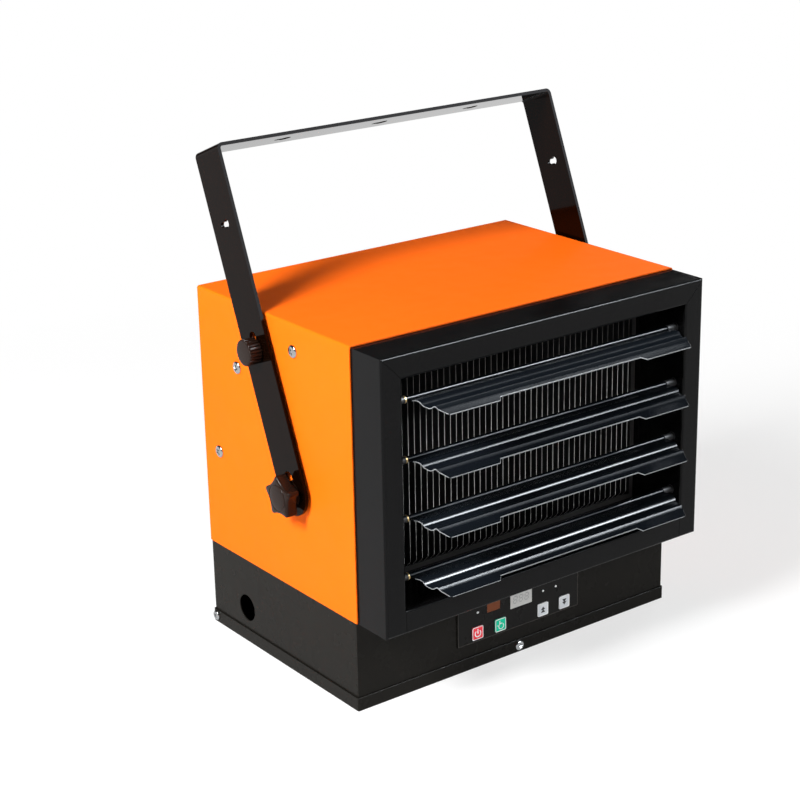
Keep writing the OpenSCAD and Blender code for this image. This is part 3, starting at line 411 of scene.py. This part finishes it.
def screw(head_r, head_h, shank_r, shank_len):
    head = bmesh.new()
    lathe(head, [(head_r * r, head_h * z) for r, z in DOME], 40)
    mesh, cut = bpy.data.meshes.new("head"), bpy.data.meshes.new("cut")
    head.to_mesh(mesh)
    head.free()
    cutter = cross_cutter(head_r, head_h)
    cutter.to_mesh(cut)
    cutter.free()
    a, b = bpy.data.objects.new("head", mesh), bpy.data.objects.new("cut", cut)
    for o in (a, b):
        scene.collection.objects.link(o)
    mod = a.modifiers.new("cut", "BOOLEAN")
    mod.object = b
    mod.solver = "EXACT"
    mod.use_self = True
    done = bpy.data.meshes.new_from_object(a.evaluated_get(bpy.context.evaluated_depsgraph_get()))
    for o in (a, b):
        bpy.data.objects.remove(o)
    bm = bmesh.new()
    bm.from_mesh(done)
    bpy.data.meshes.remove(done)
    turns = int(shank_len / THREAD_PITCH)
    profile = [(shank_r * 0.8, 0)]
    for i in range(turns):
        z = -shank_len * (i + 0.5) / turns
        profile += [(shank_r, z), (shank_r * 0.82, z - shank_len * 0.5 / turns)]
    profile.append((shank_r * 0.5, -shank_len))
    lathe(bm, profile[::-1], 20)
    return bm


SHANK_R = 2.4 * MM
SIDE_HEAD = (5.8 * MM, 2.2 * MM)
SMALL_HEAD = (4.6 * MM, 2.2 * MM)


def screws(name, head, shank_len, places):
    one = screw(*head, SHANK_R, shank_len)
    add_mesh(name + "_detail", placed(one, places), ZINC, "cabinet", (name,), 40)
    one.free()


def side_places():
    """Three on each side, on the lock knob's circle round the pivot, each head turned a little further."""
    out = []
    for s in (-1, 1):
        for k, a in enumerate((0, 45, 90)):
            at = PIVOT + Vector((0, math.sin(math.radians(a)), math.cos(math.radians(a)))) * LOCK_R
            out.append(turned_to(Vector((s * CASE_HALF, at.y, at.z)), (s, 0, 0), 0.4 + 0.9 * k))
    return out


screws("side_screws", SIDE_HEAD, 9 * MM, side_places())
screws("tray_screws", SMALL_HEAD, 5 * MM, [
    turned_to(Vector((0, TRAY_FRONT, LIP_SCREW_Z)), (0, -1, 0), 0.3),
    turned_to(Vector((-TRAY_HALF, LIP_SCREW_Y, LIP_SCREW_Z)), (-1, 0, 0), 0.7),
    turned_to(Vector((TRAY_HALF, LIP_SCREW_Y, LIP_SCREW_Z)), (1, 0, 0), 1.1),
])
rear = [Vector((s * REAR_SCREW_X, REAR_Y, z)) for s in (-1, 1) for z in REAR_SCREW_Z]
rear += [Vector((s * CASE_HALF / 2, REAR_Y, REAR_TOP_SCREW_Z)) for s in (-1, 1)]
screws("rear_screws", SMALL_HEAD, 6 * MM, [turned_to(p, (0, 1, 0), 0.5 * i) for i, p in enumerate(rear)])


# Star knobs, in millimetres

STAR_LOBES = 5
STAR_TIP = 19.0
STAR_STEPS = 240
VALLEY_R = 27.74
VALLEY_AT = 2.21 * STAR_TIP
SOFTENING = ((-3, 1), (-2, 2), (-1, 3), (0, 4), (1, 3), (2, 2), (3, 1))


def star_radius(angle):
    """The radius of a round blank cut by one valley of radius VALLEY_R between each two lobes."""
    step = 2 * math.pi / STAR_LOBES
    off = (angle % step) - step / 2
    side = VALLEY_AT * math.sin(off)
    if abs(side) >= VALLEY_R:
        return STAR_TIP
    return min(STAR_TIP, VALLEY_AT * math.cos(off) - math.sqrt(VALLEY_R * VALLEY_R - side * side))


def soft_star():
    """The star's radii with rounded tips, stretched so that the tips keep their radius."""
    n = STAR_STEPS
    plain = [star_radius(2 * math.pi * i / n) for i in range(n)]
    total = sum(w for _, w in SOFTENING)
    soft = [sum(plain[(i + k) % n] * w for k, w in SOFTENING) / total for i in range(n)]
    low, high = min(plain), max(soft)
    return [low + (r - low) * (STAR_TIP - low) / (high - low) for r in soft]


def star_knob():
    bm = bmesh.new()
    n = STAR_STEPS
    soft = soft_star()

    def ring(z, inset=0.0, flat=None):
        out = []
        for i in range(n):
            a = 2 * math.pi * i / n
            r = soft[i] - inset
            if flat is not None:
                r = min(r, flat)
            out.append(Vector((r * math.cos(a), r * math.sin(a), z)) * MM)
        return out

    rings = [ring(0, flat=11.0), ring(0.4, flat=11.6), ring(3.9, flat=11.8), ring(4.1, 2.2), ring(4.3, 0.9),
             ring(4.9, 0.15), ring(6, 0), ring(13.6, 0.05), ring(14.3, 0.3), ring(14.7, 0.7), ring(15.0, 1.3),
             ring(15.3, 2.2, 12.9), ring(15.4, flat=12.2), ring(15.3, flat=11.95), ring(15.1, flat=11.8),
             ring(15.05, flat=11.5), ring(15.1, flat=11.2), ring(15.45, flat=11.0), ring(15.6, flat=10.4),
             ring(15.9, flat=6), ring(16.0, flat=0.5)]
    loft(bm, rings)
    stud = [(0.5, -13.4), (3.4, -13.4), (4.0, -12.8)]
    for turn in range(7):
        z = -12.6 + 0.8 * turn
        stud += [(3.5, z), (4.0, z + 0.4)]
    stud += [(4.0, -7.0), (4.0, 0.3)]
    lathe(bm, [(r * MM, z * MM) for r, z in stud], 32)
    return bm


def left_knob_matrix(origin):
    """Local +Z points along world -X, and local +X points up the part's own frame."""
    m = Matrix(((0, 0, -1), (0, 1, 0), (1, 0, 0))).to_4x4()
    m.translation = origin
    return m


def both_sides(kind, bm, at, sharp):
    """The left knob at its matrix, and its mirror on the right."""
    for side, matrix in (("left", at), ("right", Matrix.Scale(-1, 4, (1, 0, 0)) @ at)):
        name = f"{kind}_knob_{side}"
        knob = placed(bm, [matrix])
        add_mesh(name + "_detail", knob, KNOB, f"{kind}_{side}", (name,), sharp)
    bm.free()


STAR_TURN = Matrix.Rotation(math.radians(6), 4, "Z")
KNOB_FOOT = -STRAP_OUT - KNOB_GAP
both_sides("star", star_knob(), left_knob_matrix(Vector((KNOB_FOOT, PIVOT.y, PIVOT.z))) @ STAR_TURN, 50)


# Lock knobs, in millimetres

def lock_knob(flutes=24, radius=11.5, per=8):
    """A knob with round flutes, each drawn with per points."""
    bm = bmesh.new()
    n = flutes * per

    def ring(z, inset=0.0, depth=1.0, flat=None):
        out = []
        for i in range(n):
            a = 2 * math.pi * i / n
            k = (i % per) / per
            groove = max(0.0, math.cos(2 * math.pi * k)) ** 0.7 * depth
            r = radius - inset - groove
            if flat is not None:
                r = min(r, flat)
            out.append(Vector((r * math.cos(a), r * math.sin(a), z)) * MM)
        return out

    rings = [ring(0, 1.3, 0), ring(0.4, 1.0, 0), ring(0.9, 0.8, 0.2), ring(1.3, 0, 1), ring(11.7, 0, 1),
             ring(12.1, 0.15, 0.85), ring(12.35, 0.5, 0.5), ring(12.5, 1.1, 0), ring(12.65, 1.7, 0),
             ring(12.7, flat=8.2), ring(12.72, flat=7.9), ring(12.85, flat=4), ring(12.92, flat=0.4)]
    loft(bm, rings)
    stud = [(0.3, -3.9), (2.5, -3.9), (3.0, -3.4), (3.0, 0.3)]
    lathe(bm, [(r * MM, z * MM) for r, z in stud], 28)
    return bm


in_bracket = Matrix.Translation(PIVOT) @ Matrix.Rotation(-TILT, 4, "X")
both_sides("lock", lock_knob(), in_bracket @ left_knob_matrix(Vector((KNOB_FOOT, 0, LOCK_R))), 40)


# Prints on the control panel: flat shapes in millimetres, drawn in X and Z and given a thickness

PANEL_Y = -115.0
DISPLAY_Y = -114.9
CAP_Y = -115.8
BUTTON_Z = 33.5
PANEL_Z = 51
DIGIT_Z = 52.2


def soft_square(w, r, steps=6):
    """A square of width w with corners of radius r."""
    pts = []
    for cx, cz, start in ((1, 1, 0), (-1, 1, 90), (-1, -1, 180), (1, -1, 270)):
        for i in range(steps + 1):
            a = math.radians(start + 90 * i / steps)
            pts.append((cx * (w / 2 - r) + r * math.cos(a), cz * (w / 2 - r) + r * math.sin(a)))
    return pts


def arc(r, a0, a1, steps=24):
    angles = [math.radians(a0 + (a1 - a0) * i / steps) for i in range(steps + 1)]
    return [(r * math.cos(a), r * math.sin(a)) for a in angles]


def plate(bm, outline, x, z, y, thick=0.06):
    """A thin raised print whose outline runs anticlockwise seen from the front."""
    front = [bm.verts.new(Vector((x + px, y - thick, z + pz)) * MM) for px, pz in outline]
    back = [bm.verts.new(Vector((x + px, y, z + pz)) * MM) for px, pz in outline]
    n = len(front)
    bm.faces.new(front)
    for i in range(n):
        bm.faces.new((front[(i + 1) % n], front[i], back[i], back[(i + 1) % n]))


def band(bm, outer, inner, x, z, y, thick=0.06, closed=True):
    """A thin raised ring or stroke between two lines of as many points."""
    rows = [[bm.verts.new(Vector((x + px, yy, z + pz)) * MM) for px, pz in line]
            for line, yy in ((outer, y), (outer, y - thick), (inner, y - thick), (inner, y))]
    n = len(outer)
    for a, b in zip(rows, rows[1:]):
        for i in range(n if closed else n - 1):
            j = (i + 1) % n
            bm.faces.new((a[i], a[j], b[j], b[i]))


def rectangle(w, h):
    return [(-w / 2, -h / 2), (w / 2, -h / 2), (w / 2, h / 2), (-w / 2, h / 2)]


def add_print(name, bm, mat, body="cabinet"):
    bmesh.ops.recalc_face_normals(bm, faces=bm.faces)
    add_mesh(name, bm, mat, body)


def power_sign(bm, x):
    """An open ring with a bar in its gap."""
    at = (x, BUTTON_Z - 0.3, CAP_Y)
    band(bm, arc(3.7, 130, 410), arc(2.6, 130, 410), *at, closed=False)
    plate(bm, [(-0.6, -0.4), (0.6, -0.4), (0.6, 4.3), (-0.6, 4.3)], *at)


def hand_sign(bm, x):
    """A round palm with a finger up and a thumb out."""
    at = (x, BUTTON_Z, CAP_Y)
    band(bm, arc(3.1, 60, 400), arc(2.3, 60, 400), x + 0.5, BUTTON_Z - 1.3, CAP_Y, closed=False)
    plate(bm, [(-1.5, 0.4), (-0.6, 0.6), (-0.6, 4.1), (-1.5, 4.1)], *at)
    plate(bm, [(-3.9, -0.1), (-2.0, -1.4), (-1.6, -0.8), (-3.5, 0.5)], *at)


def arrow_sign(bm, x, way):
    """Two arrow heads, up for a way of 1 and down for -1."""
    for lift in (-1.5, 1.1):
        head = [(-2.6, -1.4), (2.6, -1.4), (0, 1.8)]
        plate(bm, [(px, way * (pz + lift)) for px, pz in head], x, BUTTON_Z, CAP_Y)


for name, x, tone, sign in (
    ("power", -48, WHITE, power_sign),
    ("mode", -22, WHITE, hand_sign),
    ("up", 27.5, INK, lambda bm, x: arrow_sign(bm, x, 1)),
    ("down", 53, INK, lambda bm, x: arrow_sign(bm, x, -1)),
):
    bm = bmesh.new()
    sign(bm, x)
    add_print(name + "_icon", bm, tone, name + "_cap")
    bm = bmesh.new()
    band(bm, soft_square(12.2, 1.4), soft_square(10.8, 0.9), x, BUTTON_Z, CAP_Y, 0.05)
    add_print(name + "_rim", bm, WHITE, name + "_cap")

# A thin pale band round the control panel: a painted highlight on its edge
bm = bmesh.new()
band(bm, rectangle(139.6, 51.6), rectangle(138.4, 50.4), 0, PANEL_Z, PANEL_Y)
add_print("panel_rim", bm, PANEL_EDGE_HIGHLIGHT)


def digit_eight(bm, cx, h=6.4, w=4.0, stroke=0.75, gap=0.35, slant=0.10):
    """All seven segments of a display's figure, each a bar with pointed ends."""
    half, t = h / 2, stroke / 2
    level = [(x, z, w / 2 - gap, True) for x, z in ((0, half), (0, 0), (0, -half))]
    upright = [(s * w / 2, z, half / 2 - gap, False) for z in (half / 2, -half / 2) for s in (-1, 1)]
    for ox, oz, a, is_level in level + upright:
        pts = [(-a, 0), (-a + t, -t), (a - t, -t), (a, 0), (a - t, t), (-a + t, t)]
        if not is_level:
            pts = [(-z, x) for x, z in pts]
        plate(bm, [(px + slant * (pz + oz), pz) for px, pz in pts], cx + ox, DIGIT_Z + oz, DISPLAY_Y, 0.04)


bm = bmesh.new()
for cx in (-4.4, 2.2, 8.8):
    digit_eight(bm, cx)
add_print("display_digits", bm, SEGMENT)


# Floor, lights and world

ROOM_LIGHT = 0.09
FLOOR_R = 14
FLOOR_Z = -0.0004
FADE_FROM = 0.5
FADE_TO = 1.1


def background_rays(tree):
    """Two masks of the rays that show the background: camera rays, and glossy or transmission rays."""
    path = node(tree, "ShaderNodeLightPath").outputs
    return path["Is Camera Ray"], combine(tree, "MAXIMUM", path["Is Glossy Ray"], path["Is Transmission Ray"])


def make_floor():
    """A pale floor that takes soft shadows and fades into the white background further out."""
    bpy.ops.mesh.primitive_circle_add(vertices=96, radius=FLOOR_R, fill_type="NGON", location=(0, 0, FLOOR_Z))
    floor = bpy.context.object
    floor.name = "floor"
    mat, tree, bsdf = new_material("floor white")
    out = next(n for n in tree.nodes if n.type == "OUTPUT_MATERIAL")
    coords = node(tree, "ShaderNodeTexCoord").outputs["Object"]
    mottle = noise(tree, coords, 3, 3)
    camera, mirrored = background_rays(tree)
    pale = blend_colours(tree, spread(tree, mottle, 0, 1), (0.80, 0.80, 0.80), (0.83, 0.83, 0.83))
    pale = blend_colours(tree, mirrored, pale, (0.60, 0.60, 0.60))
    tree.links.new(blend_colours(tree, camera, pale, (0.98, 0.98, 0.98)), bsdf.inputs["Base Color"])
    bsdf.inputs["Roughness"].default_value = 0.8
    bsdf.inputs["Specular IOR Level"].default_value = 0.1
    glow = node(tree, "ShaderNodeEmission")
    glow.inputs["Strength"].default_value = 1.0
    length = node(tree, "ShaderNodeVectorMath", operation="LENGTH")
    tree.links.new(coords, length.inputs[0])
    far = spread(tree, length.outputs["Value"], 0.65, 1.0, FADE_FROM, FADE_TO)
    shown = combine(tree, "MAXIMUM", camera, combine(tree, "MULTIPLY", mirrored, 0.95))
    mix = node(tree, "ShaderNodeMixShader")
    tree.links.new(combine(tree, "MULTIPLY", shown, far), mix.inputs[0])
    tree.links.new(bsdf.outputs[0], mix.inputs[1])
    tree.links.new(glow.outputs[0], mix.inputs[2])
    tree.links.new(mix.outputs[0], out.inputs[0])
    floor.data.materials.append(mat)


def area_light(name, at, towards, size, power, colour=(1, 1, 1), highlight_only=False):
    """A soft box. One that is highlight_only shows in glossy finishes and lights nothing else."""
    data = bpy.data.lights.new(name, "AREA")
    data.shape = "RECTANGLE"
    data.size, data.size_y = size
    data.energy = power
    data.color = colour
    obj = bpy.data.objects.new(name, data)
    obj.location = at
    obj.rotation_euler = (Vector(towards) - Vector(at)).to_track_quat("-Z", "Y").to_euler()
    obj.visible_diffuse = not highlight_only
    scene.collection.objects.link(obj)


def make_world():
    """Soft room light. Mirrored rays see a white backdrop near the horizon and a dimmer room above it."""
    world = bpy.data.worlds.new("studio")
    scene.world = world
    world.use_nodes = True
    tree = world.node_tree
    tree.nodes.clear()
    out = node(tree, "ShaderNodeOutputWorld")
    light = node(tree, "ShaderNodeBackground")
    light.inputs["Color"].default_value = (1, 1, 1, 1)
    direction = split(tree, node(tree, "ShaderNodeTexCoord").outputs["Generated"])
    backdrop = spread(tree, direction["Z"], 0.9, 0.03, 0.02, 0.15)
    camera, mirrored = background_rays(tree)
    by_ray = node(tree, "ShaderNodeMix", data_type="FLOAT")
    by_ray.inputs[2].default_value = ROOM_LIGHT
    tree.links.new(mirrored, by_ray.inputs[0])
    tree.links.new(backdrop, by_ray.inputs[3])
    tree.links.new(combine(tree, "MAXIMUM", camera, by_ray.outputs[0]), light.inputs["Strength"])
    tree.links.new(light.outputs[0], out.inputs[0])


make_floor()
make_world()
HEATER_MIDDLE = (0, 0, 0.2)
area_light("key", (-2.05, -0.33, 1.72), HEATER_MIDDLE, (0.7, 0.7), 119)
area_light("front", (0.4, -2.5, 1.9), HEATER_MIDDLE, (1.2, 1.0), 36)
area_light("fill", (2.3, 1.0, 0.5), HEATER_MIDDLE, (1.2, 0.8), 22)

# The strips make the lines along the louvres and the dark grey of the bracket's front edge

area_light("strip", (1.25, -1.5, 2.05), (1.25, 0, 0.2), (1.8, 0.45), 270, (0.88, 0.94, 1), True)
area_light("low_strip", (1.44, -1.8, 1.3), (0, 0, 0.25), (1.1, 0.8), 24, (0.85, 0.92, 1), True)
